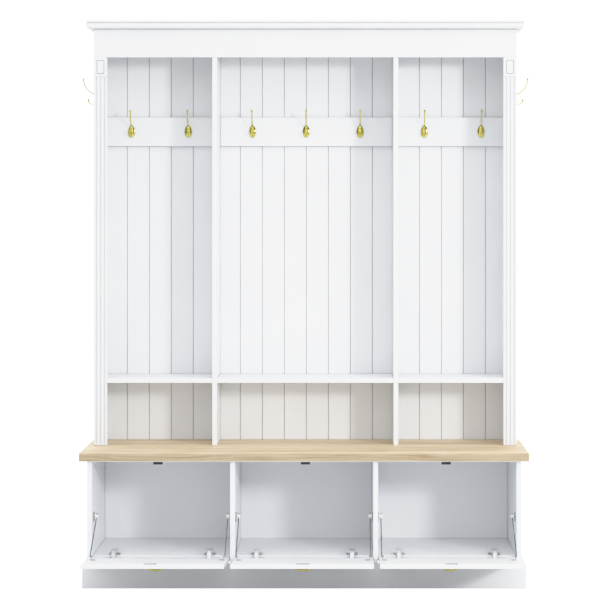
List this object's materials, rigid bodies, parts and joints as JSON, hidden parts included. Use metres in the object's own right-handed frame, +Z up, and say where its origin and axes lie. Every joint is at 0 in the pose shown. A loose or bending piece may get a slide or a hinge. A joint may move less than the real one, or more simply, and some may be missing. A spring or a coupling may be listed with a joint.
{
  "type": "hall tree",
  "caption": "Hall tree: a storage bench with flip-down doors under an oak seat, and a white beadboard hutch above it with shelves, brass double hooks, fluted posts and a moulded crown.",
  "frame": {"origin": "on the floor, at the middle of the bench's width and depth, on the underside of the middle floor support", "axes": "+X to the right seen from the front, +Y to the rear, +Z up; the front faces -Y"},
  "size_m": [1.542, 0.6913, 1.91],
  "materials": {
    "white_board": "satin white paint on fibreboard",
    "oak_board": "pale oak with a matt clear coat",
    "brass": "polished brass",
    "steel": "nickel-plated steel",
    "black_plastic": "moulded, matt",
    "white_plastic": "moulded, matt"
  },
  "bodies": {
    "cabinet": {"crown": "white_board", "frieze": "white_board", "pilaster_left": "white_board", "pilaster_right": "white_board", "hutch_side_left": "white_board", "hutch_side_right": "white_board", "hutch_divider_left": "white_board", "hutch_divider_right": "white_board", "beadboard_left": "white_board", "beadboard_middle": "white_board", "beadboard_right": "white_board", "hook_rail_left": "white_board", "hook_rail_middle": "white_board", "hook_rail_right": "white_board", "hutch_shelf_left": "white_board", "hutch_shelf_middle": "white_board", "hutch_shelf_right": "white_board", "bench_top": "oak_board", "base_side_left": "white_board", "base_side_right": "white_board", "base_divider_left": "white_board", "base_divider_right": "white_board", "base_floor_left": "white_board", "base_floor_middle": "white_board", "base_floor_right": "white_board", "base_back": "white_board", "plinth_front": "white_board", "plinth_side_left": "white_board", "plinth_side_right": "white_board", "floor_supports": "white_board", "hinge_arms": "steel", "hinge_pins": "steel", "stay_brackets": "steel", "door_catches": "black_plastic", "fixing_screws": "steel", "hooks_left": "brass", "hooks_middle": "brass", "hooks_right": "brass", "hooks_outside": "brass"},
    "door_left_body": {"door_left": "white_board", "handle_left": "brass", "hinge_cups_left": "steel", "stay_feet_left": "steel", "strike_plate_left": "steel"},
    "stay_rods_left_body": {"stay_rods_left": "steel"},
    "stay_swivels_left_body": {"stay_swivels_left": "white_plastic"},
    "door_middle_body": {"door_middle": "white_board", "handle_middle": "brass", "hinge_cups_middle": "steel", "stay_feet_middle": "steel", "strike_plate_middle": "steel"},
    "stay_rods_middle_body": {"stay_rods_middle": "steel"},
    "stay_swivels_middle_body": {"stay_swivels_middle": "white_plastic"},
    "door_right_body": {"door_right": "white_board", "handle_right": "brass", "hinge_cups_right": "steel", "stay_feet_right": "steel", "strike_plate_right": "steel"},
    "stay_rods_right_body": {"stay_rods_right": "steel"},
    "stay_swivels_right_body": {"stay_swivels_right": "white_plastic"}
  },
  "joints": [
    {"name": "door_left_hinge", "type": "hinge", "parent": "cabinet", "child": "door_left_body", "pos_m": [-0.478, -0.169, 0.096], "axis": [-1, 0, 0], "range_deg": [0, 84]},
    {"name": "stay_rods_left_pivot", "type": "hinge", "parent": "door_left_body", "child": "stay_rods_left_body", "pos_m": [-0.478, -0.30565, 0.12645], "axis": [-1, 0, 0], "range_deg": [-42, 0]},
    {"name": "stay_swivels_left_pivot", "type": "hinge", "parent": "cabinet", "child": "stay_swivels_left_body", "pos_m": [-0.478, -0.12676, 0.22947], "axis": [-1, 0, 0], "range_deg": [0, 42]},
    {"name": "door_middle_hinge", "type": "hinge", "parent": "cabinet", "child": "door_middle_body", "pos_m": [0, -0.169, 0.096], "axis": [-1, 0, 0], "range_deg": [0, 84]},
    {"name": "stay_rods_middle_pivot", "type": "hinge", "parent": "door_middle_body", "child": "stay_rods_middle_body", "pos_m": [0, -0.30565, 0.12645], "axis": [-1, 0, 0], "range_deg": [-42, 0]},
    {"name": "stay_swivels_middle_pivot", "type": "hinge", "parent": "cabinet", "child": "stay_swivels_middle_body", "pos_m": [0, -0.12676, 0.22947], "axis": [-1, 0, 0], "range_deg": [0, 42]},
    {"name": "door_right_hinge", "type": "hinge", "parent": "cabinet", "child": "door_right_body", "pos_m": [0.478, -0.169, 0.096], "axis": [-1, 0, 0], "range_deg": [0, 84]},
    {"name": "stay_rods_right_pivot", "type": "hinge", "parent": "door_right_body", "child": "stay_rods_right_body", "pos_m": [0.478, -0.30565, 0.12645], "axis": [-1, 0, 0], "range_deg": [-42, 0]},
    {"name": "stay_swivels_right_pivot", "type": "hinge", "parent": "cabinet", "child": "stay_swivels_right_body", "pos_m": [0.478, -0.12676, 0.22947], "axis": [-1, 0, 0], "range_deg": [0, 42]}
  ],
  "couplings": [
    {"joint": "stay_rods_left_pivot", "follows": "door_left_hinge", "ratio": -0.5},
    {"joint": "stay_swivels_left_pivot", "follows": "door_left_hinge", "ratio": 0.5},
    {"joint": "stay_rods_middle_pivot", "follows": "door_middle_hinge", "ratio": -0.5},
    {"joint": "stay_swivels_middle_pivot", "follows": "door_middle_hinge", "ratio": 0.5},
    {"joint": "stay_rods_right_pivot", "follows": "door_right_hinge", "ratio": -0.5},
    {"joint": "stay_swivels_right_pivot", "follows": "door_right_hinge", "ratio": 0.5}
  ]
}
